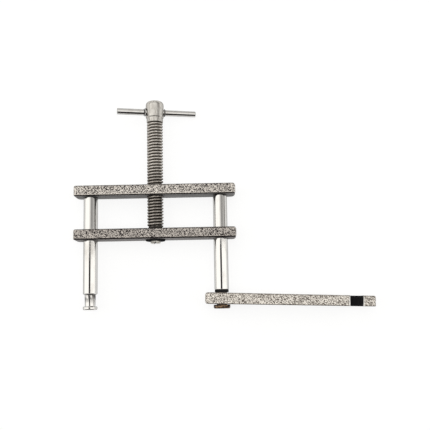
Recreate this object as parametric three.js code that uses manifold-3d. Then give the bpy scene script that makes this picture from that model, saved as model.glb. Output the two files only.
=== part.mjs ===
// Two-post screw press (screw clamp) with a swing-open bottom bar, lying on its back.
//
// Millimetres. +X runs along the bars towards the open arm, +Y runs along the spindle towards
// the tommy bar, and +Z is up from the bench. The back edges of the bars rest on Z = 0, and
// the finished group is centred in X and Y. While it is built, X = 0 is the spindle's axis and
// Y = 0 is the left post's latch shoulder.
import * as THREE from "three";
import * as BufferGeometryUtils from "three/addons/utils/BufferGeometryUtils.js";
import Module from "manifold-3d";

const wasm = await Module();
wasm.setup();

// ---- driving dimensions ----
const FIT_GAP = 0.05;            // round a piece pressed or screwed into another
const RUN_GAP = 0.25;            // between pieces that turn or slide on each other
const POST_SPACING = 64.5;
const POST_RADIUS = 3.5;
const SPIGOT_RADIUS = 2.5;

const BAR_LENGTH = 80;
const BAR_THICKNESS = 5.3;       // along Y
const BAR_DEPTH = 12;            // along Z
const BAR_FRONT_RADIUS = 0.8;
const BAR_BACK_RADIUS = 2.75;
const BAR_BEVEL = 0.4;
const TOP_BAR_UNDERSIDE = 48.1;
const JAW_UNDERSIDE = 26.4;      // at rest

const NECK_LENGTH = 5.8;         // the groove that the arm's notch drops over
const NECK_TOP_RADIUS = 2.7;
const NECK_LOW_RADIUS = 2.55;
const FLANGE_THICKNESS = 1.75;

const ARM_THICKNESS = 5.5;       // at the pivot
const ARM_TIP_THICKNESS = 5.1;
const ARM_LEVEL = -3.1;          // middle of the arm's thickness at the pivot, along Y
const ARM_HEEL = 8.2;            // from the pivot's axis back to the heel
const ARM_REACH = 74.2;          // from the pivot's axis out to the tip
const ARM_DROOP = THREE.MathUtils.degToRad(2.15);
const NOTCH_INNER = 61.6;        // from the pivot's axis
const NOTCH_WIDTH = 6.4;

const PIVOT_SHANK_RADIUS = 2.6;
const PIVOT_HEAD_RADIUS = 4.1;
const PIVOT_HEAD_THICKNESS = 1.9;
const PIVOT_WASHER_RADIUS = 3.4;
const PIVOT_WASHER_THICKNESS = 1.2;
const PIVOT_STUD_RADIUS = 1.7;
const PIVOT_STUD_LENGTH = 7;

const SPINDLE_RADIUS = 4;        // M8, pitch 1.5; the thread's crests
const SPINDLE_HEAD_RADIUS = 4.5;
const SPINDLE_HEAD_BASE = 88.3;
const SPINDLE_HEAD_HEIGHT = 8.6;
const SPINDLE_COLLAR_HEIGHT = 2.3;
const SPINDLE_COLLAR_RADIUS = 4.1;
const SPINDLE_HEAD_ROUND = 1.9;
const JOURNAL_RADIUS = 2.5;

const TOMMY_LENGTH = 40;
const TOMMY_LEFT_RADIUS = 1.56;
const TOMMY_RIGHT_RADIUS = 1.42;
const TOMMY_HEIGHT = 91.3;        // along Y
const TOMMY_OFFSET = 1;          // its middle stands this far to the right of the spindle
const TOMMY_TURN = THREE.MathUtils.degToRad(12.5);

const RECESS_RADIUS = 5;         // in the pressure bar's underside, for the retaining washer
const RECESS_DEPTH = 0.6;
const RETAINER_RADIUS = 4.75;
const RETAINER_THICKNESS = 1.1;
const RETAINER_SCREW_RADIUS = 1.45;
const RETAINER_SCREW_LENGTH = 8;
const RETAINER_HEAD_RADIUS = 2.55;
const RETAINER_HEAD_HEIGHT = 1.3;
const SLOT_WIDTH = 0.8;
const SLOT_DEPTH = 0.6;

const ROUND_SEGMENTS = 32;

// ---- levels worked out from them ----
const MID_DEPTH = BAR_DEPTH / 2;
const LEFT_X = -POST_SPACING / 2;
const RIGHT_X = POST_SPACING / 2;
const TOP_BAR_TOP = TOP_BAR_UNDERSIDE + BAR_THICKNESS;
const JAW_TOP = JAW_UNDERSIDE + BAR_THICKNESS;
const WASHER_LOW = ARM_LEVEL + ARM_THICKNESS / 2 + RUN_GAP;
const RIGHT_POST_LOW = WASHER_LOW + PIVOT_WASHER_THICKNESS;
const PIVOT_HEAD_TOP = ARM_LEVEL - ARM_THICKNESS / 2 - RUN_GAP;
const JOURNAL_LOW = JAW_UNDERSIDE + RECESS_DEPTH - RUN_GAP;
const RETAINER_LOW = JOURNAL_LOW - RETAINER_THICKNESS;

// ---- finishes ----
const finish = (color, roughness, metalness) =>
  new THREE.MeshStandardMaterial({ color, roughness, metalness });
const castNickel = finish(0xa39c92, 0.55, 0.9);
const polishedNickel = finish(0xd6d3cc, 0.15, 1);
const satinNickel = finish(0xbdb7ac, 0.35, 1);
const blackOxide = finish(0x17161a, 0.5, 0.6);
const bronze = finish(0x4a3a2a, 0.3, 1);

// ---- helpers ----
function toSolid(geometry) {
  const plain = geometry.clone();
  plain.deleteAttribute("normal");
  plain.deleteAttribute("uv");
  const merged = BufferGeometryUtils.mergeVertices(plain, 1e-4);
  const mesh = new wasm.Mesh({
    numProp: 3,
    vertProperties: Float32Array.from(merged.attributes.position.array),
    triVerts: Uint32Array.from(merged.index.array),
  });
  return new wasm.Manifold(mesh);
}

function toGeometry(solid) {
  const mesh = solid.getMesh();
  const geometry = new THREE.BufferGeometry();
  geometry.setAttribute("position", new THREE.BufferAttribute(mesh.vertProperties, 3));
  geometry.setIndex(new THREE.BufferAttribute(mesh.triVerts, 1));
  geometry.computeVertexNormals();
  return geometry;
}

function cut(geometry, ...tools) {
  const solid = tools.reduce((left, tool) => left.subtract(toSolid(tool)), toSolid(geometry));
  return toGeometry(solid);
}

// A turned piece about its own Y axis, from [radius, y] pairs that start and end on the axis.
function turned(profile) {
  const points = profile.map(([radius, y]) => new THREE.Vector2(radius, y));
  return new THREE.LatheGeometry(points, ROUND_SEGMENTS);
}

function rod(radius, low, high) {
  return turned([[0, low], [radius, low], [radius, high], [0, high]]);
}

function circleHole(x, z, radius) {
  const hole = new THREE.Path();
  hole.absarc(x, z, radius, 0, 2 * Math.PI, true);
  return hole;
}

// A rounded outline in X and Z: `front` is the corner radius at high Z, `back` the one at low Z.
function roundedOutline(left, right, leftFront, rightFront, back) {
  const shape = new THREE.Shape();
  shape.moveTo(left + back, 0);
  shape.lineTo(right - back, 0);
  shape.absarc(right - back, back, back, -Math.PI / 2, 0, false);
  shape.lineTo(right, BAR_DEPTH - rightFront);
  shape.absarc(right - rightFront, BAR_DEPTH - rightFront, rightFront, 0, Math.PI / 2, false);
  shape.lineTo(left + leftFront, BAR_DEPTH);
  shape.absarc(left + leftFront, BAR_DEPTH - leftFront, leftFront, Math.PI / 2, Math.PI, false);
  shape.lineTo(left, back);
  shape.absarc(left + back, back, back, Math.PI, 1.5 * Math.PI, false);
  return shape;
}

// The outline, given in X and Z, made `thickness` deep downwards from Y = 0, with bevelled edges.
function bevelledPlate(shape, thickness) {
  const geometry = new THREE.ExtrudeGeometry(shape, {
    depth: thickness - 2 * BAR_BEVEL,
    bevelEnabled: true,
    bevelThickness: BAR_BEVEL,
    bevelSize: BAR_BEVEL,
    bevelOffset: -BAR_BEVEL,
    bevelSegments: 1,
    curveSegments: ROUND_SEGMENTS / 4,
  });
  geometry.translate(0, 0, BAR_BEVEL);
  geometry.rotateX(Math.PI / 2);
  return geometry;
}

function place(name, geometry, material, x, y, parent) {
  const mesh = new THREE.Mesh(geometry, material);
  mesh.name = name;
  mesh.position.set(x, y, parent === press ? MID_DEPTH : 0);
  parent.add(mesh);
  return mesh;
}

// ---- the pieces ----
function pressureBar() {
  const bar = barWithHoles(POST_RADIUS + RUN_GAP, JOURNAL_RADIUS + RUN_GAP);
  const recess = rod(RECESS_RADIUS, -2 * BAR_THICKNESS, RECESS_DEPTH - BAR_THICKNESS);
  return cut(bar, recess);
}

function barWithHoles(postHole, middleHole) {
  const half = BAR_LENGTH / 2;
  const shape = roundedOutline(-half, half, BAR_FRONT_RADIUS, BAR_FRONT_RADIUS, BAR_BACK_RADIUS);
  shape.holes.push(circleHole(LEFT_X, MID_DEPTH, postHole));
  shape.holes.push(circleHole(RIGHT_X, MID_DEPTH, postHole));
  shape.holes.push(circleHole(0, MID_DEPTH, middleHole));
  const geometry = bevelledPlate(shape, BAR_THICKNESS);
  geometry.translate(0, 0, -MID_DEPTH);
  return geometry;
}

function leftPost() {
  return turned([
    [0, -NECK_LENGTH - FLANGE_THICKNESS],
    [POST_RADIUS - 0.4, -NECK_LENGTH - FLANGE_THICKNESS],
    [POST_RADIUS, -NECK_LENGTH - FLANGE_THICKNESS + 0.4],
    [POST_RADIUS, -NECK_LENGTH - 0.3],
    [POST_RADIUS - 0.3, -NECK_LENGTH],
    [NECK_LOW_RADIUS, -NECK_LENGTH],
    [NECK_TOP_RADIUS, 0],
    [POST_RADIUS - 0.3, 0],
    [POST_RADIUS, 0.3],
    [POST_RADIUS, TOP_BAR_UNDERSIDE],
    [SPIGOT_RADIUS, TOP_BAR_UNDERSIDE],
    [SPIGOT_RADIUS, TOP_BAR_TOP],
    [0, TOP_BAR_TOP],
  ]);
}

function rightPost() {
  const studHole = PIVOT_STUD_RADIUS + FIT_GAP;
  const holeEnd = RIGHT_POST_LOW + PIVOT_STUD_LENGTH + RUN_GAP;
  return turned([
    [0, holeEnd],
    [studHole, holeEnd],
    [studHole, RIGHT_POST_LOW],
    [POST_RADIUS - 0.3, RIGHT_POST_LOW],
    [POST_RADIUS, RIGHT_POST_LOW + 0.3],
    [POST_RADIUS, TOP_BAR_UNDERSIDE],
    [SPIGOT_RADIUS, TOP_BAR_UNDERSIDE],
    [SPIGOT_RADIUS, TOP_BAR_TOP],
    [0, TOP_BAR_TOP],
  ]);
}

function ring(inner, outer, low, high) {
  return turned([[inner, low], [outer, low], [outer, high], [inner, high], [inner, low]]);
}

function pivotScrew() {
  const headLow = PIVOT_HEAD_TOP - PIVOT_HEAD_THICKNESS;
  return turned([
    [0, headLow],
    [PIVOT_HEAD_RADIUS - 0.7, headLow],
    [PIVOT_HEAD_RADIUS, headLow + 0.6],
    [PIVOT_HEAD_RADIUS, PIVOT_HEAD_TOP - 0.2],
    [PIVOT_HEAD_RADIUS - 0.2, PIVOT_HEAD_TOP],
    [PIVOT_SHANK_RADIUS, PIVOT_HEAD_TOP],
    [PIVOT_SHANK_RADIUS, RIGHT_POST_LOW],
    [PIVOT_STUD_RADIUS, RIGHT_POST_LOW],
    [PIVOT_STUD_RADIUS, RIGHT_POST_LOW + PIVOT_STUD_LENGTH],
    [0, RIGHT_POST_LOW + PIVOT_STUD_LENGTH],
  ]);
}

// A tapered pin along X, with its middle at `offset`; `extra` widens and lengthens it as a tool.
function taperedPin(extra) {
  const half = TOMMY_LENGTH / 2 + extra;
  const pin = turned([
    [0, -half],
    [TOMMY_RIGHT_RADIUS + extra - 0.15, -half],
    [TOMMY_RIGHT_RADIUS + extra, -half + 0.15],
    [TOMMY_LEFT_RADIUS + extra, half - 0.15],
    [TOMMY_LEFT_RADIUS + extra - 0.15, half],
    [0, half],
  ]);
  pin.rotateZ(Math.PI / 2);
  pin.translate(TOMMY_OFFSET, 0, 0);
  pin.rotateY(TOMMY_TURN);
  return pin;
}

function spindle() {
  const headTop = SPINDLE_HEAD_BASE + SPINDLE_HEAD_HEIGHT;
  const screwHole = RETAINER_SCREW_RADIUS + FIT_GAP;
  const holeEnd = RETAINER_LOW + RETAINER_SCREW_LENGTH + RUN_GAP;
  const shoulder = [];
  for (let step = 0; step <= 6; step += 1) {
    const angle = (step / 6) * (Math.PI / 2);
    shoulder.push([
      SPINDLE_HEAD_RADIUS - SPINDLE_HEAD_ROUND * (1 - Math.cos(angle)),
      headTop - SPINDLE_HEAD_ROUND * (1 - Math.sin(angle)),
    ]);
  }
  const body = turned([
    [0, holeEnd],
    [screwHole, holeEnd],
    [screwHole, JOURNAL_LOW],
    [JOURNAL_RADIUS, JOURNAL_LOW],
    [JOURNAL_RADIUS, JAW_TOP + FIT_GAP],
    [SPINDLE_RADIUS - 0.5, JAW_TOP + FIT_GAP],
    [SPINDLE_RADIUS, JAW_TOP + 0.5],
    [SPINDLE_RADIUS, SPINDLE_HEAD_BASE - SPINDLE_COLLAR_HEIGHT],
    [SPINDLE_COLLAR_RADIUS, SPINDLE_HEAD_BASE - SPINDLE_COLLAR_HEIGHT],
    [SPINDLE_COLLAR_RADIUS, SPINDLE_HEAD_BASE],
    [SPINDLE_HEAD_RADIUS - 0.3, SPINDLE_HEAD_BASE],
    [SPINDLE_HEAD_RADIUS, SPINDLE_HEAD_BASE + 0.4],
    ...shoulder,
    [0, headTop],
  ]);
  const hole = taperedPin(FIT_GAP);
  hole.translate(0, TOMMY_HEIGHT, 0);
  return cut(body, hole);
}

function retainingScrew() {
  const headLow = RETAINER_LOW - RETAINER_HEAD_HEIGHT;
  const body = turned([
    [0, headLow],
    [RETAINER_HEAD_RADIUS - 0.45, headLow],
    [RETAINER_HEAD_RADIUS, headLow + 0.45],
    [RETAINER_HEAD_RADIUS, RETAINER_LOW],
    [RETAINER_SCREW_RADIUS, RETAINER_LOW],
    [RETAINER_SCREW_RADIUS, RETAINER_LOW + RETAINER_SCREW_LENGTH],
    [0, RETAINER_LOW + RETAINER_SCREW_LENGTH],
  ]);
  const slot = new THREE.BoxGeometry(SLOT_WIDTH, 2 * SLOT_DEPTH, 4 * RETAINER_HEAD_RADIUS);
  slot.translate(0, headLow, 0);
  return cut(body, slot);
}

// The arm lies along +X from its pivot at X = 0, and its notch opens upwards.
function swingArm() {
  const shape = roundedOutline(-ARM_HEEL, ARM_REACH, 2.2, BAR_FRONT_RADIUS, 2);
  const notchOuter = NOTCH_INNER + NOTCH_WIDTH;
  const notchRadius = NOTCH_WIDTH / 2;
  const outline = shape.getPoints(ROUND_SEGMENTS / 4);
  const frontLeft = outline.findLastIndex((point) => point.x > notchOuter) + 1;
  const notch = new THREE.Path();
  notch.moveTo(notchOuter, BAR_DEPTH);
  notch.lineTo(notchOuter, MID_DEPTH);
  notch.absarc(NOTCH_INNER + notchRadius, MID_DEPTH, notchRadius, 0, Math.PI, true);
  notch.lineTo(NOTCH_INNER, BAR_DEPTH);
  outline.splice(frontLeft, 0, ...notch.getPoints(ROUND_SEGMENTS / 4));
  const notched = new THREE.Shape(outline);
  notched.holes.push(circleHole(0, MID_DEPTH, PIVOT_SHANK_RADIUS + 0.3));
  const geometry = bevelledPlate(notched, ARM_THICKNESS);
  geometry.translate(0, ARM_THICKNESS / 2, -MID_DEPTH);
  const position = geometry.attributes.position;
  for (let index = 0; index < position.count; index += 1) {
    const along = Math.max(position.getX(index), 0) / ARM_REACH;
    const scale = 1 - (1 - ARM_TIP_THICKNESS / ARM_THICKNESS) * along;
    position.setY(index, position.getY(index) * scale);
  }
  return geometry;
}

// ---- the assembly ----
const press = new THREE.Group();

const topBar = barWithHoles(SPIGOT_RADIUS + FIT_GAP, SPINDLE_RADIUS + 0.15);
place("top_bar", topBar, castNickel, 0, TOP_BAR_TOP, press);
place("left_post", leftPost(), polishedNickel, LEFT_X, 0, press);
place("right_post", rightPost(), polishedNickel, RIGHT_X, 0, press);
const washer = ring(PIVOT_SHANK_RADIUS + 0.1, PIVOT_WASHER_RADIUS, WASHER_LOW, RIGHT_POST_LOW);
place("pivot_washer", washer, blackOxide, RIGHT_X, 0, press);
place("pivot_screw", pivotScrew(), bronze, RIGHT_X, 0, press);

place("pressure_bar", pressureBar(), castNickel, 0, JAW_TOP, press);

place("spindle", spindle(), satinNickel, 0, 0, press);
place("tommy_bar", taperedPin(0), polishedNickel, 0, TOMMY_HEIGHT, press);
const retainer = ring(RETAINER_SCREW_RADIUS + 0.1, RETAINER_RADIUS, RETAINER_LOW, JOURNAL_LOW);
place("retaining_washer", retainer, blackOxide, 0, 0, press);
place("retaining_screw", retainingScrew(), satinNickel, 0, 0, press);

const armHinge = new THREE.Group();
armHinge.position.set(RIGHT_X, ARM_LEVEL, MID_DEPTH);
armHinge.rotation.z = -ARM_DROOP;
press.add(armHinge);
place("swing_arm", swingArm(), castNickel, 0, 0, armHinge);

// Centre the press over the origin, with its back edges on the bench.
press.updateMatrixWorld(true);
const box = new THREE.Box3().setFromObject(press, true);
press.position.set(-(box.min.x + box.max.x) / 2, -(box.min.y + box.max.y) / 2, -box.min.z);

export default press;
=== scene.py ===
"""A small two-post screw press clamp lying on its back, seen from above with its arm swung open."""
import math

import bmesh
import bpy
from mathutils import Matrix, Vector, noise


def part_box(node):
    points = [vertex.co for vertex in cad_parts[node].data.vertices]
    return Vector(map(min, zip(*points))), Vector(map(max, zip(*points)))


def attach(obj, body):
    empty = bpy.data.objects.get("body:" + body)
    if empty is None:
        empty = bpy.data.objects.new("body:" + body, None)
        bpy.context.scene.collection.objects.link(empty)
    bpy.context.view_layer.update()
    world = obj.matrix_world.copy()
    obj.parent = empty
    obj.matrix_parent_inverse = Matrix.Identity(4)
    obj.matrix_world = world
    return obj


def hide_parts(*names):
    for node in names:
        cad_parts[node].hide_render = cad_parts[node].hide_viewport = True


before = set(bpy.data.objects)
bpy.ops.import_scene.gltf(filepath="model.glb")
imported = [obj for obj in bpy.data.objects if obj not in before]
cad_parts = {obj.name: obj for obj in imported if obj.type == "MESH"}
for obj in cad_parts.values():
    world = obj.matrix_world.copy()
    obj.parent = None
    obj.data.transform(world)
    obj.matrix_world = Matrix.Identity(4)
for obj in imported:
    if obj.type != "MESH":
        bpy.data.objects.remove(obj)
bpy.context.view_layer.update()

MM = 0.001
TURN = 2 * math.pi


# ---------------------------------------------------------------- node helpers
def new_material(name):
    """An empty node material, as (material, nodes, links)."""
    material = bpy.data.materials.new(name)
    material.use_nodes = True
    nodes = material.node_tree.nodes
    nodes.clear()
    return material, nodes, material.node_tree.links


def shader(nodes, links, color, roughness, metallic=1.0):
    """A Principled shader wired to the material output."""
    output = nodes.new("ShaderNodeOutputMaterial")
    principled = nodes.new("ShaderNodeBsdfPrincipled")
    principled.inputs["Base Color"].default_value = (*color, 1)
    principled.inputs["Roughness"].default_value = roughness
    principled.inputs["Metallic"].default_value = metallic
    links.new(principled.outputs["BSDF"], output.inputs["Surface"])
    return principled


def noise_texture(nodes, links, scale, detail=3.0, stretch=(1, 1, 1), roughness=0.55):
    """Noise in the object's own coordinates; `scale` is in cells per metre."""
    coords = nodes.new("ShaderNodeTexCoord")
    mapping = nodes.new("ShaderNodeMapping")
    mapping.inputs["Scale"].default_value = stretch
    texture = nodes.new("ShaderNodeTexNoise")
    texture.inputs["Scale"].default_value = scale
    texture.inputs["Detail"].default_value = detail
    texture.inputs["Roughness"].default_value = roughness
    links.new(coords.outputs["Object"], mapping.inputs["Vector"])
    links.new(mapping.outputs["Vector"], texture.inputs["Vector"])
    return texture.outputs["Fac"]


def remap(nodes, links, value, low, high, out_low, out_high):
    """A smooth step of `value` from low..high to out_low..out_high."""
    node = nodes.new("ShaderNodeMapRange")
    node.interpolation_type = "SMOOTHSTEP"
    for name, number in (("From Min", low), ("From Max", high), ("To Min", out_low), ("To Max", out_high)):
        node.inputs[name].default_value = number
    links.new(value, node.inputs["Value"])
    return node.outputs["Result"]


def color_mix(nodes, links, factor, color_a, color_b):
    """color_a where factor is 0, color_b where it is 1; each is a colour or a socket."""
    mix = nodes.new("ShaderNodeMix")
    mix.data_type = "RGBA"
    links.new(factor, mix.inputs["Factor"])
    for socket, color in ((mix.inputs[6], color_a), (mix.inputs[7], color_b)):
        if isinstance(color, tuple):
            socket.default_value = (*color, 1)
        else:
            links.new(color, socket)
    return mix.outputs[2]


def math_node(nodes, links, operation, *values):
    """The result of a Math node; the values are numbers or sockets."""
    node = nodes.new("ShaderNodeMath")
    node.operation = operation
    for socket, value in zip(node.inputs, values):
        if isinstance(value, (int, float)):
            socket.default_value = value
        else:
            links.new(value, socket)
    return node.outputs[0]


def bump(nodes, links, principled, height, distance, strength):
    """Gives the shader a bump of `height` times `distance` metres."""
    node = nodes.new("ShaderNodeBump")
    node.inputs["Distance"].default_value = distance
    node.inputs["Strength"].default_value = strength
    links.new(height, node.inputs["Height"])
    links.new(node.outputs["Normal"], principled.inputs["Normal"])


def object_axes(nodes, links, kind):
    """The X, Y and Z of an object's "Object" place or "Normal", or of a world's "Generated" direction."""
    coords = nodes.new("ShaderNodeTexCoord")
    split = nodes.new("ShaderNodeSeparateXYZ")
    links.new(coords.outputs[kind], split.inputs["Vector"])
    return split.outputs


def distance_from_axis(nodes, links, axis_x, axis_z):
    """How far a point is from the line along Y through this X and Z."""
    coords = nodes.new("ShaderNodeTexCoord")
    shift = nodes.new("ShaderNodeVectorMath")
    shift.operation = "SUBTRACT"
    shift.inputs[1].default_value = (axis_x, 0, axis_z)
    flat = nodes.new("ShaderNodeVectorMath")
    flat.operation = "MULTIPLY"
    flat.inputs[1].default_value = (1, 0, 1)
    length = nodes.new("ShaderNodeVectorMath")
    length.operation = "LENGTH"
    links.new(coords.outputs["Object"], shift.inputs[0])
    links.new(shift.outputs["Vector"], flat.inputs[0])
    links.new(flat.outputs["Vector"], length.inputs[0])
    return length.outputs["Value"]


# ---------------------------------------------------------------- materials
GROUND_FACE = (0.9, 0.98)         # the Y part of the normal, from cast skin to ground face


def cast_nickel(name, crest, pit_and_edge_shade, shaded_ground_color):
    """Nickel over a pitted cast skin on the edges; the broad +Y and -Y faces are ground nearly flat.

    The skin's own depth, kept on the mesh as an attribute, darkens the hollows; that attribute also carries
    painted shade lines along the rounded edges, and the ground faces' dark base colour is painted shade.
    """
    material, nodes, links = new_material(name)
    principled = shader(nodes, links, crest, 0.4)
    facing = math_node(nodes, links, "ABSOLUTE", object_axes(nodes, links, "Normal")["Y"])
    ground = remap(nodes, links, facing, *GROUND_FACE, 0, 1)
    # the skin's depth and the painted shade lines of the rounded edges, in one attribute
    depth = nodes.new("ShaderNodeAttribute")
    depth.attribute_name = "pit_and_edge_shade"
    grain = noise_texture(nodes, links, 2600, 2)
    speckle = remap(nodes, links, grain, 0.3, 0.7, -0.2, 0.2)
    hollow = math_node(nodes, links, "ADD", depth.outputs["Fac"], speckle)
    # the pit colour fills the hollows and paints the shade lines along the edges
    skin = color_mix(nodes, links, remap(nodes, links, hollow, 0.25, 0.75, 0, 1), crest, pit_and_edge_shade)
    streaks = noise_texture(nodes, links, 900, 4, (0.2, 1, 1.6))
    streak = remap(nodes, links, streaks, 0.35, 0.65, 0, 1)
    # painted shade: the ground faces' dark base colour; the streaks are the grinding
    dull = tuple(0.6 * channel for channel in shaded_ground_color)
    smooth = color_mix(nodes, links, streak, dull, shaded_ground_color)
    links.new(color_mix(nodes, links, ground, skin, smooth), principled.inputs["Base Color"])
    skin_rough = remap(nodes, links, hollow, 0.2, 0.8, 0.3, 0.55)
    ground_rough = remap(nodes, links, ground, 0, 1, 0, 0.62)
    rough = math_node(nodes, links, "MAXIMUM", skin_rough, ground_rough)
    links.new(rough, principled.inputs["Roughness"])
    relief = math_node(nodes, links, "MULTIPLY", grain, remap(nodes, links, ground, 0, 1, 1, 0.1))
    bump(nodes, links, principled, relief, 0.12 * MM, 0.8)
    return material


def polished_nickel(name, rim, blotch_from=None, blotch_to=None):
    """Bright polished plate with faint handling marks, and dark blotches between two heights if given.

    rim is how brightly it mirrors at a glancing angle.
    """
    material, nodes, links = new_material(name)
    principled = shader(nodes, links, (0.63, 0.62, 0.6), 0.08)
    principled.inputs["Specular Tint"].default_value = (rim, rim, rim, 1)
    marks = noise_texture(nodes, links, 260, 5, (1, 0.35, 1))
    links.new(remap(nodes, links, marks, 0.35, 0.75, 0.04, 0.14), principled.inputs["Roughness"])
    stain = remap(nodes, links, marks, 0.45, 0.8, 0, 1)
    color = color_mix(nodes, links, stain, (0.65, 0.64, 0.62), (0.52, 0.5, 0.47))
    if blotch_from is not None:
        height = object_axes(nodes, links, "Object")["Y"]
        rise = remap(nodes, links, height, blotch_from, blotch_to, 0, 1)
        fall = remap(nodes, links, height, blotch_to, blotch_to + 0.2 * MM, 1, 0)
        between = math_node(nodes, links, "MULTIPLY", rise, fall)
        blotches = noise_texture(nodes, links, 620, 4, (1, 0.5, 1))
        # dark blotches on the neck between the two heights
        worn = math_node(nodes, links, "MULTIPLY", between, remap(nodes, links, blotches, 0.42, 0.56, 0, 1))
        color = color_mix(nodes, links, worn, color, (0.09, 0.085, 0.08))
    links.new(color, principled.inputs["Base Color"])
    fine = noise_texture(nodes, links, 2200, 2)
    bump(nodes, links, principled, fine, 0.01 * MM, 0.5)
    return material


def satin_nickel():
    """Turned plate: fine rings round the Y axis, and a few darker patches."""
    material, nodes, links = new_material("satin_nickel")
    bright = (0.6, 0.58, 0.54)
    dark = tuple(0.72 * channel for channel in bright)
    principled = shader(nodes, links, bright, 0.28)
    patches = noise_texture(nodes, links, 420, 4)
    patch = remap(nodes, links, patches, 0.42, 0.72, 0, 1)
    links.new(color_mix(nodes, links, patch, bright, dark), principled.inputs["Base Color"])
    links.new(remap(nodes, links, patches, 0.3, 0.7, 0.22, 0.4), principled.inputs["Roughness"])
    rings = noise_texture(nodes, links, 1500, 2, (0.1, 3, 0.1))
    bump(nodes, links, principled, rings, 0.02 * MM, 0.5)
    return material


def threaded_nickel(axis_x, axis_z, crest, root, bar_high):
    """Satin plate, darker in the thread roots and on the thread up to the top bar, lighter above it and on
    the head.

    crest and root are distances from the axis; bar_high is the level of the top bar's upper face.
    """
    material, nodes, links = new_material("threaded_nickel")
    principled = shader(nodes, links, (0.7, 0.66, 0.6), 0.3, 0.85)
    principled.inputs["Specular Tint"].default_value = (0.1, 0.1, 0.1, 1)
    reach = distance_from_axis(nodes, links, axis_x, axis_z)
    height = object_axes(nodes, links, "Object")["Y"]
    above = remap(nodes, links, height, bar_high - 1 * MM, bar_high + 12 * MM, 0, 1)
    patches = noise_texture(nodes, links, 700, 4)
    # darker flanks up to the top bar, lighter above it
    lower_flank = color_mix(nodes, links, patches, (0.28, 0.25, 0.225), (0.46, 0.43, 0.39))
    bright = color_mix(nodes, links, patches, (0.42, 0.39, 0.355), (0.72, 0.68, 0.63))
    flank = color_mix(nodes, links, above, lower_flank, bright)
    streaks = noise_texture(nodes, links, 1300, 4, (1, 0.25, 1))
    streak = remap(nodes, links, streaks, 0.35, 0.65, 0, 1)
    head_tone = color_mix(nodes, links, streak, (0.5, 0.475, 0.44), (0.7, 0.68, 0.64))
    head = remap(nodes, links, reach, crest + 0.14 * MM, crest + 0.18 * MM, 0, 1)
    plate = color_mix(nodes, links, head, flank, head_tone)
    # darker in the thread roots, less so above the top bar
    root_tone = color_mix(nodes, links, above, (0.075, 0.065, 0.058), (0.15, 0.135, 0.12))
    rise = remap(nodes, links, reach, root, crest, 0, 1)
    links.new(color_mix(nodes, links, rise, root_tone, plate), principled.inputs["Base Color"])
    links.new(remap(nodes, links, rise, 0, 1, 0.55, 0.28), principled.inputs["Roughness"])
    bump(nodes, links, principled, patches, 0.03 * MM, 0.5)
    return material


def black_oxide():
    """Dull blackened steel for the washers; carried by the black cutters, it is also painted shade in the
    holes, recess, slots and notch they cut, and it colours the painted shadow rings by the tommy bar.
    """
    material, nodes, links = new_material("black_oxide")
    principled = shader(nodes, links, (0.02, 0.02, 0.022), 0.6, 0.0)
    principled.inputs["Specular IOR Level"].default_value = 0
    grain = noise_texture(nodes, links, 1800, 3)
    color = color_mix(nodes, links, grain, (0.012, 0.012, 0.014), (0.035, 0.034, 0.036))
    links.new(color, principled.inputs["Base Color"])
    bump(nodes, links, principled, grain, 0.03 * MM, 0.6)
    return material


def bronzed_steel():
    """Dark bronze finish, worn brighter in streaks."""
    material, nodes, links = new_material("bronzed_steel")
    principled = shader(nodes, links, (0.12, 0.09, 0.06), 0.25)
    wear = noise_texture(nodes, links, 520, 4, (1, 2, 1))
    worn = remap(nodes, links, wear, 0.45, 0.7, 0, 1)
    color = color_mix(nodes, links, worn, (0.03, 0.023, 0.02), (0.3, 0.2, 0.12))
    links.new(color, principled.inputs["Base Color"])
    links.new(remap(nodes, links, wear, 0.3, 0.7, 0.2, 0.4), principled.inputs["Roughness"])
    bump(nodes, links, principled, wear, 0.03 * MM, 0.5)
    return material


# ---------------------------------------------------------------- mesh helpers
LONG_SPAN = 0.6 * MM              # a lathed row longer than this is held at its ends
HOLD = 0.04 * MM                  # from the end of the span to the row that holds it
CAST_CREASE = 50                  # degrees; see sharpen
TURNED_CREASE = 35
THREAD_CREASE = 38
RING_SEGMENTS = 48


def add_piece(name, mesh_data, material):
    """Links a new object for a bmesh and frees the bmesh."""
    mesh = bpy.data.meshes.new(name)
    bmesh.ops.recalc_face_normals(mesh_data, faces=mesh_data.faces)
    mesh_data.to_mesh(mesh)
    mesh_data.free()
    piece = bpy.data.objects.new(name, mesh)
    bpy.context.scene.collection.objects.link(piece)
    for polygon in mesh.polygons:
        polygon.use_smooth = True
    mesh.materials.append(material)
    return piece


def bridge(body, rings):
    """Faces between each ring of points and the next."""
    for low, high in zip(rings, rings[1:]):
        for step in range(len(low)):
            after = (step + 1) % len(low)
            body.faces.new((low[step], low[after], high[after], high[step]))


def held(rows):
    """The rows with two more just inside the ends of each long span, so that it shades as a true cylinder."""
    closer = [rows[0]]
    for (y, radius), (next_y, next_radius) in zip(rows, rows[1:]):
        span = math.hypot(next_y - y, next_radius - radius)
        if span > LONG_SPAN:
            for share in (HOLD / span, 1 - HOLD / span):
                closer.append((y + (next_y - y) * share, radius + (next_radius - radius) * share))
        closer.append((next_y, next_radius))
    return closer


def revolved(rows, segments, radius_at=None):
    """A closed body about the Y axis from (y, radius) rows; radius_at(angle, y, radius) may vary a row."""
    body = bmesh.new()
    rings = []
    for y, radius in held(rows):
        ring = []
        for step in range(segments):
            angle = TURN * step / segments
            reach = radius_at(angle, y, radius) if radius_at else radius
            ring.append(body.verts.new((reach * math.sin(angle), y, reach * math.cos(angle))))
        rings.append(ring)
    bridge(body, rings)
    for ring in (rings[0], rings[-1]):
        middle = sum((vertex.co for vertex in ring), Vector()) / segments
        centre = body.verts.new(middle)
        for step in range(segments):
            body.faces.new((ring[step], ring[(step + 1) % segments], centre))
    return body


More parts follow.
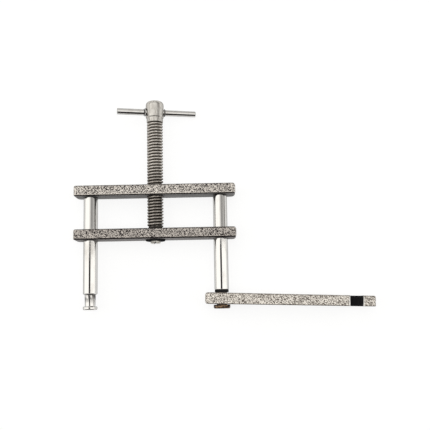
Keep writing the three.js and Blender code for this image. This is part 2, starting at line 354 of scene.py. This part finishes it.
def carve(piece, cutters):
    """Cuts each cutter out of the piece with a boolean, applies it, and removes the cutter."""
    for cutter in cutters:
        modifier = piece.modifiers.new("cut", "BOOLEAN")
        modifier.operation = "DIFFERENCE"
        modifier.solver = "EXACT"
        # the cut faces take the cutter's material, so black cutters paint shade into what they cut
        modifier.material_mode = "TRANSFER"
        modifier.object = cutter
    bpy.context.view_layer.update()
    depsgraph = bpy.context.evaluated_depsgraph_get()
    cut_mesh = bpy.data.meshes.new_from_object(piece.evaluated_get(depsgraph))
    piece.modifiers.clear()
    piece.data = cut_mesh
    for cutter in cutters:
        bpy.data.objects.remove(cutter)


def sharpen(piece, degrees):
    """Smooth shading, but creases sharper than this angle stay sharp."""
    piece.data.set_sharp_from_angle(angle=math.radians(degrees))


# ---------------------------------------------------------------- cast bars and the arm
SKIN_STEP = 0.25 * MM             # between neighbouring points of the cast skin
SKIN_CELL = 0.36 * MM             # across one hollow of the skin
SKIN_DEPTH = 0.16 * MM
SKIN_FADE = 0.35 * MM             # over which the skin grows to its full depth at an edge
HIGH_ROUND = 0.8 * MM             # the edges next to the +Y face
END_RISE = 1.5 * MM               # one end is rounded further than the other edges
END_INSET = 1.2 * MM
EDGE_ROWS = 6
# painted shade: the rows of each rounded edge that are darkened into a line
DARK_EDGE_ROWS = (2, 3, 4)        # counted from the flat face
# how dark that painted shade line is on the edges next to the +Y face
HIGH_EDGE_DARK = 0.6
HOLE_SEGMENTS = 64
DRILL_PAST = 1 * MM


def outline(left, right, back, front, corners):
    """Evenly spaced (x, z, outward x, outward z) round a rounded rectangle.

    corners are the radii at back right, front right, front left and back left.
    """
    centres = (
        (right - corners[0], back + corners[0]),
        (right - corners[1], front - corners[1]),
        (left + corners[2], front - corners[2]),
        (left + corners[3], back + corners[3]),
    )
    points = []
    for index, ((x, z), radius) in enumerate(zip(centres, corners)):
        start = (index - 1) * TURN / 4
        steps = max(4, round(radius * TURN / 4 / SKIN_STEP))
        for step in range(steps + 1):
            angle = start + step / steps * TURN / 4
            out_x, out_z = math.cos(angle), math.sin(angle)
            points.append((x + radius * out_x, z + radius * out_z, out_x, out_z))
        far_x, far_z = centres[(index + 1) % 4]
        far = corners[(index + 1) % 4]
        end_angle = start + TURN / 4
        out = (math.cos(end_angle), math.sin(end_angle))
        first = Vector((x + radius * out[0], z + radius * out[1]))
        last = Vector((far_x + far * out[0], far_z + far * out[1]))
        count = round((last - first).length / SKIN_STEP)
        for step in range(1, count):
            spot = first.lerp(last, step / count)
            points.append((spot.x, spot.y, *out))
    return points


def skin_depth(place, seed):
    """How deep the cast skin is here, 0 on a crest and 1 in a hollow: short curling grains."""
    spot = place / SKIN_CELL + Vector((seed, 0, 0))
    bend = noise.noise(spot * 0.7 + Vector((5, 9, 2)))
    value = noise.noise(spot + Vector((bend, 0, -bend)))
    broad = noise.noise(spot * 0.12 + Vector((3, 7, 1)))
    return min(max(0.46 + 1.5 * value + 0.12 * broad, 0), 1)


def edge_rows(height, dark):
    """(distance from the flat face, shade) up a rounded edge; its middle is this dark."""
    rows = []
    for step in range(EDGE_ROWS + 1):
        angle = step / EDGE_ROWS * TURN / 4
        # the middle rows carry the painted shade line
        rows.append((height * (1 - math.cos(angle)), dark if step in DARK_EDGE_ROWS else 0))
    return rows


def drawn_in(distance, rise, inset):
    """How far a rounded edge is drawn in at this distance from the flat face."""
    if distance >= rise:
        return 0
    return inset * (1 - math.sqrt(1 - (1 - distance / rise) ** 2))


def plate_rows(low, high, low_round):
    """(y, shade) rows up the wall of a plate, close together on its rounded edges."""
    straight = high - HIGH_ROUND - low - low_round
    inner = round(straight / SKIN_STEP)
    # both rounded edges carry painted shade lines, full strength next to the -Y face
    rows = [(low + rise, shade) for rise, shade in edge_rows(low_round, 1)]
    rows += [(low + low_round + straight * step / inner, 0) for step in range(1, inner)]
    return rows + [(high - rise, shade) for rise, shade in reversed(edge_rows(HIGH_ROUND, HIGH_EDGE_DARK))]


def cast_plate(name, points, low, high, seed, material, clean_edge, low_round, round_end):
    """A plate with flat +Y and -Y faces, rounded edges and a pitted wall, standing on its outline.

    clean_edge is how far up from the -Y face the wall is free of pits. round_end is +1 or -1 for
    the end, along X, whose corners are rounded further than the rest.
    """
    body = bmesh.new()
    layer = body.verts.layers.float.new("pit_and_edge_shade")
    rings = []
    for y, shade in plate_rows(low, high, low_round):
        from_edge = min(y - low - clean_edge, high - y)
        fade = min(max(from_edge / SKIN_FADE, 0), 1)
        near_face = min(y - low, high - y)
        edge_round = low_round if y - low < high - y else HIGH_ROUND
        side_inset = drawn_in(near_face, edge_round, edge_round)
        end_inset = drawn_in(near_face, END_RISE, END_INSET)
        ring = []
        for x, z, out_x, out_z in points:
            depth = skin_depth(Vector((x, y, z)), seed) * fade
            inset = side_inset + (end_inset - side_inset) * max(round_end * out_x, 0) ** 2
            reach = inset + depth * SKIN_DEPTH
            vertex = body.verts.new((x - out_x * reach, y, z - out_z * reach))
            # the skin's depth, or the painted shade of a rounded edge where that is darker
            vertex[layer] = max(depth, shade)
            ring.append(vertex)
        rings.append(ring)
    bridge(body, rings)
    body.faces.new(rings[0])
    body.faces.new(rings[-1])
    return add_piece(name, body, material)


def drill(x, z, radius, low, high):
    """The tool for a round hole along Y, reaching a little past both levels."""
    rows = [(low - DRILL_PAST, radius), (high + DRILL_PAST, radius)]
    # its black passes to the hole's wall, painted shade in the gap round what goes through
    tool = add_piece("drill_tool", revolved(rows, HOLE_SEGMENTS), black)
    tool.data.transform(Matrix.Translation((x, 0, z)))
    return tool


def axis_of(node):
    """The X and Z of the middle of a node's box."""
    low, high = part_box(node)
    return (low.x + high.x) / 2, (low.z + high.z) / 2


BACK_RADIUS = 2.75 * MM           # corners of the outline at low Z
FRONT_RADIUS = 1.6 * MM           # and at high Z
ARM_HEEL_RADIUS = 2.2 * MM
ARM_BACK_RADIUS = 2 * MM
ARM_THICKNESS = 5.5 * MM          # at the pivot
ARM_TIP_THICKNESS = 5.1 * MM
ARM_HEEL = 8.2 * MM               # from the pivot back to the heel
ARM_REACH = 74.2 * MM             # from the pivot out to the tip
ARM_DROOP = math.radians(2.15)
ARM_GAP = 0.25 * MM               # between the arm and the washer over it
NOTCH_INNER = 61.6 * MM           # from the pivot
NOTCH_WIDTH = 6.4 * MM
NOTCH_CHAMFER = 0.6 * MM          # along the arm
NOTCH_CHAMFER_DEPTH = 0.3 * MM
NOTCH_STEPS = 24
PIVOT_HOLE = 2.9 * MM


def bar(node, body, post_hole, middle_hole, seed, material, clean_edge, low_round, recess=None):
    """One of the two cast bars, drilled for the posts and the screw.

    recess, if given, is the radius and depth of a round recess in its -Y face.
    """
    low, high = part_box(node)
    points = outline(low.x, high.x, low.z, high.z, (BACK_RADIUS, FRONT_RADIUS, FRONT_RADIUS, BACK_RADIUS))
    piece = cast_plate(
        node + "_cast", points, low.y, high.y, seed, material, clean_edge, low_round, round_end=1
    )
    tools = [drill(*axis_of(post), post_hole, low.y, high.y) for post in ("left_post", "right_post")]
    tools.append(drill(*axis_of("spindle"), middle_hole, low.y, high.y))
    if recess:
        radius, depth = recess
        # the recess's black walls are painted shade
        tools.append(drill(*axis_of("spindle"), radius, low.y - depth, low.y + depth - DRILL_PAST))
    finish_cast(piece, tools, body, node)


def finish_cast(piece, tools, body, node):
    """Cuts the holes, keeps the flat faces flat, and hands the piece to its body."""
    carve(piece, tools)
    sharpen(piece, CAST_CREASE)
    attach(piece, body)
    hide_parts(node)


def arm_place():
    """From the arm's own frame, +X along it and its pivot at the origin, to where it rests."""
    middle = axis_of("pivot_washer")
    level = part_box("pivot_washer")[0].y - (ARM_THICKNESS / 2 + ARM_GAP)
    return Matrix.Translation((middle[0], level, middle[1])) @ Matrix.Rotation(-ARM_DROOP, 4, "Z")


def swing_arm(material):
    """The swing-open bottom bar: a tapering plate with a notch near its tip that latches the left post."""
    low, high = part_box("swing_arm")
    half = (high.z - low.z) / 2
    radii = (ARM_BACK_RADIUS, FRONT_RADIUS, ARM_HEEL_RADIUS, ARM_BACK_RADIUS)
    points = outline(-ARM_HEEL, ARM_REACH, -half, half, radii)
    piece = cast_plate(
        "swing_arm_cast", points, -ARM_THICKNESS / 2, ARM_THICKNESS / 2,
        seed=31, material=material, clean_edge=0.1 * MM, low_round=0.5 * MM, round_end=-1,
    )
    slender = 1 - ARM_TIP_THICKNESS / ARM_THICKNESS
    for vertex in piece.data.vertices:
        vertex.co.y *= 1 - slender * max(vertex.co.x, 0) / ARM_REACH
    piece.data.transform(arm_place())
    tools = [*notch_tools(half), drill(*axis_of("pivot_washer"), PIVOT_HOLE, low.y, high.y)]
    finish_cast(piece, tools, "arm", "swing_arm")


def notch_tools(half):
    """The cutters for the U-shaped latch notch: first the bright chamfer at its mouth, then the slot, whose
    black walls are painted shade.
    """
    radius = NOTCH_WIDTH / 2
    above = half + 1 * MM
    mouth = [
        (radius + 3 * NOTCH_CHAMFER, half + 2 * NOTCH_CHAMFER_DEPTH),
        (radius - NOTCH_CHAMFER, half - 2 * NOTCH_CHAMFER_DEPTH),
    ]
    mouth += [(-x, z) for x, z in reversed(mouth)]
    slot = [(radius, above)]
    for step in range(NOTCH_STEPS + 1):
        angle = step / NOTCH_STEPS * TURN / 2
        slot.append((radius * math.cos(angle), -radius * math.sin(angle)))
    slot.append((-radius, above))
    # the notch tool's black passes to the slot's walls as painted shade
    return [prism("mouth_tool", mouth, polished), prism("notch_tool", slot, black)]


def prism(name, profile, material):
    """A cutter across the arm with this (x, z) profile about the middle of the notch."""
    middle = NOTCH_INNER + NOTCH_WIDTH / 2
    body = bmesh.new()
    near, far = (
        [body.verts.new((middle + x, y, z)) for x, z in profile] for y in (-ARM_THICKNESS, ARM_THICKNESS)
    )
    body.faces.new(near)
    body.faces.new(far)
    bridge(body, (near, far))
    tool = add_piece(name, body, material)
    tool.data.transform(arm_place())
    return tool


# ---------------------------------------------------------------- turned pieces
ROUND_SEGMENTS = 96
STEP_IN = 0.02 * MM               # along Y, between a shoulder's corner and the next radius
POST_CHAMFER = 0.3 * MM
SPIGOT_RADIUS = 2.5 * MM
NECK_LENGTH = 5.8 * MM
NECK_TOP_RADIUS = 2.7 * MM
NECK_LOW_RADIUS = 2.55 * MM
FLANGE_THICKNESS = 1.75 * MM
PIVOT_SHANK_RADIUS = 2.6 * MM
PIVOT_STUD_RADIUS = 1.7 * MM
PIVOT_HEAD_THICKNESS = 1.9 * MM
RETAINER_SCREW_RADIUS = 1.45 * MM
RETAINER_HEAD_HEIGHT = 1.3 * MM
SLOT_WIDTH = 0.8 * MM
SLOT_DEPTH = 0.6 * MM


def turned(node, body, rows, material):
    """A lathed piece on the node's own axis that stands for the node; rows are (y, radius)."""
    piece = add_piece(node + "_turned", revolved(rows, ROUND_SEGMENTS), material)
    x, z = axis_of(node)
    piece.data.transform(Matrix.Translation((x, 0, z)))
    sharpen(piece, TURNED_CREASE)
    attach(piece, body)
    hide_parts(node)
    return piece


def rounded_end(y, radius, round_radius, inward, steps=4):
    """Rows for an edge rounded from the end face at y; inward is +1 for a low end and -1 for a high end."""
    rows = []
    for step in range(steps + 1):
        angle = step / steps * TURN / 4
        rows.append((
            y + inward * round_radius * (1 - math.cos(angle)),
            radius - round_radius * (1 - math.sin(angle)),
        ))
    return rows if inward > 0 else rows[::-1]


def posts(material_left, material_right):
    """Both posts; the left one ends in the neck and flange that the arm latches on."""
    bar_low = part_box("top_bar")[0].y
    low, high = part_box("left_post")
    radius = (high.x - low.x) / 2
    neck_low = low.y + FLANGE_THICKNESS
    neck_high = neck_low + NECK_LENGTH
    rows = rounded_end(low.y, radius, 0.6 * MM, 1)
    rows += rounded_end(neck_low, radius, 0.45 * MM, -1)
    rows += [(neck_low + STEP_IN, NECK_LOW_RADIUS + 0.15 * MM), (neck_low + 0.2 * MM, NECK_LOW_RADIUS)]
    rows += [(neck_high - 0.3 * MM, NECK_TOP_RADIUS), (neck_high - STEP_IN, NECK_TOP_RADIUS + 0.2 * MM)]
    rows += rounded_end(neck_high, radius, 0.5 * MM, 1)
    rows += post_top(bar_low, high.y, radius)
    turned("left_post", "frame", rows, material_left)
    low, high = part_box("right_post")
    rows = rounded_end(low.y, radius, 0.35 * MM, 1) + post_top(bar_low, high.y, radius)
    turned("right_post", "frame", rows, material_right)


def post_top(bar_low, high, radius):
    """Rows for the shoulder under the top bar and the spigot riveted through it."""
    rows = [(bar_low - POST_CHAMFER, radius), (bar_low, radius - POST_CHAMFER)]
    rows.append((bar_low + STEP_IN, SPIGOT_RADIUS))
    return rows + rounded_end(high, SPIGOT_RADIUS, 0.25 * MM, -1)


def pivot(material_screw, material_washer):
    """The black washer over the arm and the bronzed screw it turns on."""
    low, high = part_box("pivot_washer")
    radius = (high.x - low.x) / 2
    rows = rounded_end(low.y, radius, 0.2 * MM, 1) + rounded_end(high.y, radius, 0.2 * MM, -1)
    turned("pivot_washer", "frame", rows, material_washer)
    screw_low, screw_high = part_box("pivot_screw")
    head = (screw_high.x - screw_low.x) / 2
    rows = rounded_end(screw_low.y, head, 0.7 * MM, 1, 6)
    head_top = screw_low.y + PIVOT_HEAD_THICKNESS
    rows += rounded_end(head_top, head, 0.2 * MM, -1)
    rows += [(head_top + STEP_IN, PIVOT_SHANK_RADIUS), (high.y, PIVOT_SHANK_RADIUS)]
    rows += [(high.y + STEP_IN, PIVOT_STUD_RADIUS), (screw_high.y, PIVOT_STUD_RADIUS)]
    turned("pivot_screw", "frame", rows, material_screw)


def retainer(material_screw, material_washer):
    """The black washer under the pressure bar and the slotted screw that holds it to the spindle."""
    low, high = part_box("retaining_washer")
    radius = (high.x - low.x) / 2
    rows = rounded_end(low.y, radius, 0.15 * MM, 1) + rounded_end(high.y, radius, 0.15 * MM, -1)
    turned("retaining_washer", "spindle_body", rows, material_washer)
    low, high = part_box("retaining_screw")
    radius = (high.x - low.x) / 2
    shank_low = low.y + RETAINER_HEAD_HEIGHT
    rows = rounded_end(low.y, radius, 0.55 * MM, 1, 6) + [(shank_low, radius)]
    rows += [(shank_low + 0.01 * MM, RETAINER_SCREW_RADIUS), (high.y, RETAINER_SCREW_RADIUS)]
    piece = turned("retaining_screw", "spindle_body", rows, material_screw)
    carve(piece, [slot_tool(low, high)])
    sharpen(piece, TURNED_CREASE)


def slot_tool(low, high):
    """The cutter for the screwdriver slot, which runs up and down while the press is at rest."""
    body = bmesh.new()
    middle = (low.x + high.x) / 2
    bmesh.ops.create_cube(body, size=1)
    bmesh.ops.scale(body, vec=(SLOT_WIDTH, 2 * SLOT_DEPTH, 2 * (high.z - low.z)), verts=body.verts)
    bmesh.ops.translate(body, vec=(middle, low.y, (low.z + high.z) / 2), verts=body.verts)
    # its black passes to the slot's walls as painted shade
    return add_piece("slot_tool", body, black)


TOMMY_LEFT_RADIUS = 1.56 * MM
TOMMY_RIGHT_RADIUS = 1.42 * MM
TOMMY_LENGTH = 40 * MM
STAKE_OUT = 0.8 * MM              # how far the staked rings reach from the head
# width of the black ring beyond each stake, a painted shadow in the gap
SHADE_RING_WIDTH = 0.35 * MM


def tommy_place():
    """From a rod along +Y to the tommy bar's line; +Y becomes its left end."""
    low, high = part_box("tommy_bar")
    middle = (low + high) / 2
    rise = math.asin((high.z - low.z - 2 * TOMMY_LEFT_RADIUS) / TOMMY_LENGTH)
    return Matrix.Translation(middle) @ Matrix.Rotation(rise, 4, "Y") @ Matrix.Rotation(TURN / 4, 4, "Z")


def tommy_bar(material):
    """The tapered cross pin through the head."""
    half = TOMMY_LENGTH / 2
    rows = rounded_end(-half, TOMMY_RIGHT_RADIUS, 0.3 * MM, 1)
    rows += rounded_end(half, TOMMY_LEFT_RADIUS, 0.3 * MM, -1)
    piece = add_piece("tommy_bar_turned", revolved(rows, ROUND_SEGMENTS), material)
    piece.data.transform(tommy_place())
    sharpen(piece, TURNED_CREASE)
    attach(piece, "spindle_body")
    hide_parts("tommy_bar")


def tommy_rings(material):
    """The two rings of head metal staked against the tommy bar, each with a thin black ring beyond it, a
    painted shadow in the gap.
    """
    axis_x, _ = axis_of("spindle")
    along = (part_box("tommy_bar")[0].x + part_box("tommy_bar")[1].x) / 2 - axis_x
    head = (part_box("spindle")[1].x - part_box("spindle")[0].x) / 2
    for side, name, radius in ((1, "left", TOMMY_LEFT_RADIUS), (-1, "right", TOMMY_RIGHT_RADIUS)):
        start = along + side * (head + 0.05 * MM)
        end = along + side * (head + STAKE_OUT)
        bulge = (start + end) / 2
        rows = [(start, radius + 0.2 * MM), (bulge, radius + 0.6 * MM), (end, radius + 0.2 * MM)]
        shade_ring = [(end, radius + 0.06 * MM), (end + side * SHADE_RING_WIDTH, radius + 0.02 * MM)]
        # the black ring is a painted shadow in the gap beyond each stake
        for label, shape, surface, slot in (
            ("tommy_stake_", rows, material, "polished_nickel"),
            ("tommy_shade_ring_", shade_ring, black, "black_oxide"),
        ):
            ring = add_piece(label + name, revolved(sorted(shape), RING_SEGMENTS), surface)
            ring.data.transform(tommy_place())
            sharpen(ring, CAST_CREASE)
            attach(ring, "spindle_body")


# ---------------------------------------------------------------- spindle
PITCH = 1.5 * MM
CREST_RADIUS = 4 * MM
THREAD_DEPTH = 0.9 * MM
THREAD_START = 0.45 * MM          # shifts the helix along the screw
THREAD_STEPS = 10                 # mesh rows in one pitch
SPINDLE_SEGMENTS = 80
HEAD_ROUND = 1.9 * MM
COLLAR_HEIGHT = 2.3 * MM
COLLAR_RADIUS = 4.1 * MM
HEAD_HEIGHT = 8.6 * MM
HEAD_LIP = 0.35 * MM              # the chamfer round the head's lower edge
HEAD_ROWS = 16
HEAD_ROUND_STEPS = 8
JOURNAL_RADIUS = 2.5 * MM
CROSS_HOLE_RADIUS = 1.58 * MM
CROSS_HOLE_FLARE = 0.55 * MM


def thread_profile(phase):
    """Height of the thread, 0 at the root and 1 at the crest, over one pitch."""
    rise = min(abs(phase - 0.5) / 0.5, 1)
    return min(max((0.93 - rise) / 0.55, 0), 1)


def spindle(material):
    """The screw and its head in one piece, with a real right-hand thread and a countersunk cross hole."""
    low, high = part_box("spindle")
    axis = (low + high) / 2
    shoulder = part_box("pressure_bar")[1].y + 0.05 * MM
    head_low = high.y - HEAD_HEIGHT
    thread_high = head_low - COLLAR_HEIGHT
    head_radius = (high.x - low.x) / 2

    def radius_at(angle, y, radius):
        if not shoulder < y < thread_high:
            return radius
        fade = min((y - shoulder) / PITCH, (thread_high - y) / (0.5 * PITCH), 1)
        phase = ((y + THREAD_START) / PITCH - angle / TURN) % 1
        return radius - THREAD_DEPTH * (1 - thread_profile(phase) * fade)

    rows = [(low.y, JOURNAL_RADIUS), (shoulder - STEP_IN, JOURNAL_RADIUS)]
    rows.append((shoulder, CREST_RADIUS - THREAD_DEPTH))
    count = round((thread_high - shoulder) / PITCH * THREAD_STEPS)
    for step in range(1, count):
        rows.append((shoulder + (thread_high - shoulder) * step / count, CREST_RADIUS))
    rows += head_rows(thread_high, head_low, high.y, head_radius)
    piece = add_piece("spindle_turned", revolved(rows, SPINDLE_SEGMENTS, radius_at), material)
    piece.data.transform(Matrix.Translation((axis.x, 0, axis.z)))
    carve(piece, [cross_hole(axis, head_radius)])
    sharpen(piece, THREAD_CREASE)
    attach(piece, "spindle_body")
    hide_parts("spindle")


def head_rows(thread_high, head_low, high, head_radius):
    """Rows for the collar over the thread and the round-shouldered head."""
    rows = [(thread_high, CREST_RADIUS - 0.3 * MM), (thread_high + 0.1 * MM, COLLAR_RADIUS)]
    rows += [(head_low - 0.1 * MM, COLLAR_RADIUS), (head_low, COLLAR_RADIUS)]
    rows.append((head_low + 0.05 * MM, head_radius - 0.25 * MM))
    straight = high - HEAD_ROUND - head_low - HEAD_LIP
    for step in range(HEAD_ROWS):
        rows.append((head_low + HEAD_LIP + straight * step / HEAD_ROWS, head_radius))
    for step in range(HEAD_ROUND_STEPS + 1):
        angle = step / HEAD_ROUND_STEPS * TURN / 4
        rows.append((
            high - HEAD_ROUND * (1 - math.sin(angle)),
            head_radius - HEAD_ROUND * (1 - math.cos(angle)),
        ))
    return rows


def cross_hole(axis, head_radius):
    """The tool that cuts the tommy bar's hole, flared at both mouths."""
    low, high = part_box("tommy_bar")
    height = (low.y + high.y) / 2
    past = 1 * MM
    wide = CROSS_HOLE_RADIUS + CROSS_HOLE_FLARE + past
    rows = [
        (-head_radius - past, wide),
        (-head_radius + CROSS_HOLE_FLARE, CROSS_HOLE_RADIUS),
        (head_radius - CROSS_HOLE_FLARE, CROSS_HOLE_RADIUS),
        (head_radius + past, wide),
    ]
    # its black passes to the hole and its flared mouths as painted shade round the tommy bar
    tool = add_piece("cross_hole_tool", revolved(rows, RING_SEGMENTS), black)
    place = tommy_place()
    place.translation = (axis.x, height, axis.z)
    tool.data.transform(place)
    return tool


# ---------------------------------------------------------------- stage, light and camera
def level_ramp(nodes, links, angle, stops):
    """Light level from an angle in radians, between -180 and 180 degrees; stops are (degrees, level)."""
    ramp = nodes.new("ShaderNodeValToRGB")
    share = math_node(nodes, links, "MULTIPLY_ADD", angle, 1 / TURN, 0.5)
    links.new(share, ramp.inputs["Fac"])
    elements = ramp.color_ramp.elements
    elements.remove(elements[1])
    elements[0].position = 0
    elements[0].color = (*[stops[0][1]] * 3, 1)
    for degrees, level in stops:
        elements.new((degrees + 180) / 360).color = (level, level, level, 1)
    return ramp.outputs["Color"]


# What the metal mirrors, as light level by angle in degrees: 0 is straight up, plus is +X, and for
# NEAR_SIDE +Y. The first three follow each other as the direction leans towards +Y.
OVER_LEGS = ((-150, 1), (-17, 1), (-12, 0.01), (10, 0.01), (15, 1), (150, 1))
OVER_BARS = ((-150, 1), (-18, 1), (2, 0.62), (16, 0.24), (40, 0.3), (62, 0.45), (76, 0.12), (100, 0.05))
OVER_HEAD = (
    (-150, 0.3), (-80, 0.8), (-45, 0.8), (-15, 0.66), (20, 0.72),
    (36, 0.6), (46, 0.15), (60, 0.2), (72, 0.9), (100, 0.4),
)
NEAR_SIDE = ((-100, 0.01), (-28, 0.01), (-13, 1), (30, 1), (50, 0.55), (100, 0.5))
LEGS_TO_BARS = (0.094, 0.108)     # the Y part of the direction, where one gives way to the next
BARS_TO_HEAD = (0.17, 0.23)
NEAR_END = (-0.09, -0.05)         # the Y part again, white below
HORIZON = (0.075, 0.1)            # the Z part, white below
SKY_STRENGTH = 1.6
SKY_DARK = (0.012, 0.01, 0.012)
SKY_WHITE = (1.0, 0.985, 0.955)
WHITE = (1.0, 1.0, 1.0)


def studio_world():
    """Soft white surroundings with the room's dark parts that the metal mirrors."""
    world = bpy.data.worlds.new("studio")
    bpy.context.scene.world = world
    world.use_nodes = True
    nodes, links = world.node_tree.nodes, world.node_tree.links
    nodes.clear()
    output = nodes.new("ShaderNodeOutputWorld")
    background = nodes.new("ShaderNodeBackground")
    links.new(background.outputs["Background"], output.inputs["Surface"])
    direction = object_axes(nodes, links, "Generated")
    across = math_node(nodes, links, "ARCTAN2", direction["X"], direction["Z"])
    pitch = math_node(nodes, links, "ARCTAN2", direction["Y"], direction["Z"])
    level = WHITE
    for stops, span in ((OVER_LEGS, NEAR_END), (OVER_BARS, LEGS_TO_BARS), (OVER_HEAD, BARS_TO_HEAD)):
        further = level_ramp(nodes, links, across, stops)
        level = color_mix(nodes, links, remap(nodes, links, direction["Y"], *span, 0, 1), level, further)
    level = math_node(nodes, links, "MULTIPLY", level, level_ramp(nodes, links, pitch, NEAR_SIDE))
    above = remap(nodes, links, direction["Z"], *HORIZON, 0, 1)
    level = color_mix(nodes, links, above, WHITE, level)
    links.new(color_mix(nodes, links, level, SKY_DARK, SKY_WHITE), background.inputs["Color"])
    background.inputs["Strength"].default_value = SKY_STRENGTH


TABLE_HALF = 60                   # metres, so that the table reaches the horizon
TABLE_COLOR = (0.22, 0.22, 0.217)
TABLE_GLOW = 0.86


def floor():
    """A plain white table top: mostly its own glow, with a little soft shadow under the press."""
    sheet = bmesh.new()
    corners = ((-1, -1), (1, -1), (1, 1), (-1, 1))
    sheet.faces.new([sheet.verts.new((x * TABLE_HALF, y * TABLE_HALF, 0)) for x, y in corners])
    material, nodes, links = new_material("table_white")
    output = nodes.new("ShaderNodeOutputMaterial")
    diffuse = nodes.new("ShaderNodeBsdfDiffuse")
    diffuse.inputs["Color"].default_value = (*TABLE_COLOR, 1)
    glow = nodes.new("ShaderNodeEmission")
    glow.inputs["Strength"].default_value = TABLE_GLOW
    both = nodes.new("ShaderNodeAddShader")
    links.new(diffuse.outputs["BSDF"], both.inputs[0])
    links.new(glow.outputs["Emission"], both.inputs[1])
    links.new(both.outputs["Shader"], output.inputs["Surface"])
    table = add_piece("table_top", sheet, material)


CAMERA_PLACE = (-2.9 * MM, -51.2 * MM, 331 * MM)
CAMERA_TURN = (0.13789, 0.00475, -0.01924)
CAMERA_LENS = 55.16


def camera():
    """Above the press and a little towards the arm, looking down with a slight pitch and roll."""
    data = bpy.data.cameras.new("camera")
    data.sensor_width = 36
    data.lens = CAMERA_LENS
    viewer = bpy.data.objects.new("camera", data)
    viewer.location = CAMERA_PLACE
    viewer.rotation_euler = CAMERA_TURN
    bpy.context.scene.collection.objects.link(viewer)
    bpy.context.scene.camera = viewer


# ---------------------------------------------------------------- the press
camera()
studio_world()
floor()
bpy.context.scene.view_settings.view_transform = "Standard"

# black steel for the washers, and painted shade wherever the cutters carry it
black = black_oxide()
polished = polished_nickel("polished_nickel", rim=0.45)
rod = polished_nickel("polished_nickel_rod", rim=0.1)
satin = satin_nickel()
# each part's dark ground colour is painted shade on its ground faces
dark_cast = cast_nickel(
    "cast_nickel_bars",
    crest=(0.72, 0.675, 0.62), pit_and_edge_shade=(0.035, 0.028, 0.03), shaded_ground_color=(0.2, 0.193, 0.19),
)
mid_cast = cast_nickel(
    "cast_nickel_jaw",
    crest=(0.545, 0.505, 0.465), pit_and_edge_shade=(0.03, 0.024, 0.026), shaded_ground_color=(0.24, 0.225, 0.22),
)
pale_cast = cast_nickel(
    "cast_nickel_arm",
    crest=(0.86, 0.815, 0.75), pit_and_edge_shade=(0.17, 0.145, 0.125), shaded_ground_color=(0.3, 0.29, 0.285),
)
threaded = threaded_nickel(
    *axis_of("spindle"),
    crest=CREST_RADIUS - 0.1 * MM, root=CREST_RADIUS - THREAD_DEPTH, bar_high=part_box("top_bar")[1].y,
)
bar(
    "top_bar", "frame", post_hole=2.55 * MM, middle_hole=4.15 * MM,
    seed=11, material=dark_cast, clean_edge=0.6 * MM, low_round=0.9 * MM,
)
bar(
    "pressure_bar", "jaw", post_hole=3.75 * MM, middle_hole=2.75 * MM,
    seed=23, material=mid_cast, clean_edge=0.6 * MM, low_round=1.1 * MM, recess=(5 * MM, 0.6 * MM),
)
swing_arm(pale_cast)
neck_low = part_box("left_post")[0].y + FLANGE_THICKNESS
necked = polished_nickel("polished_nickel_neck", rim=0.45, blotch_from=neck_low, blotch_to=neck_low + NECK_LENGTH)
posts(necked, polished)
pivot(bronzed_steel(), black)
retainer(satin, black)
tommy_bar(rod)
tommy_rings(rod)
spindle(threaded)
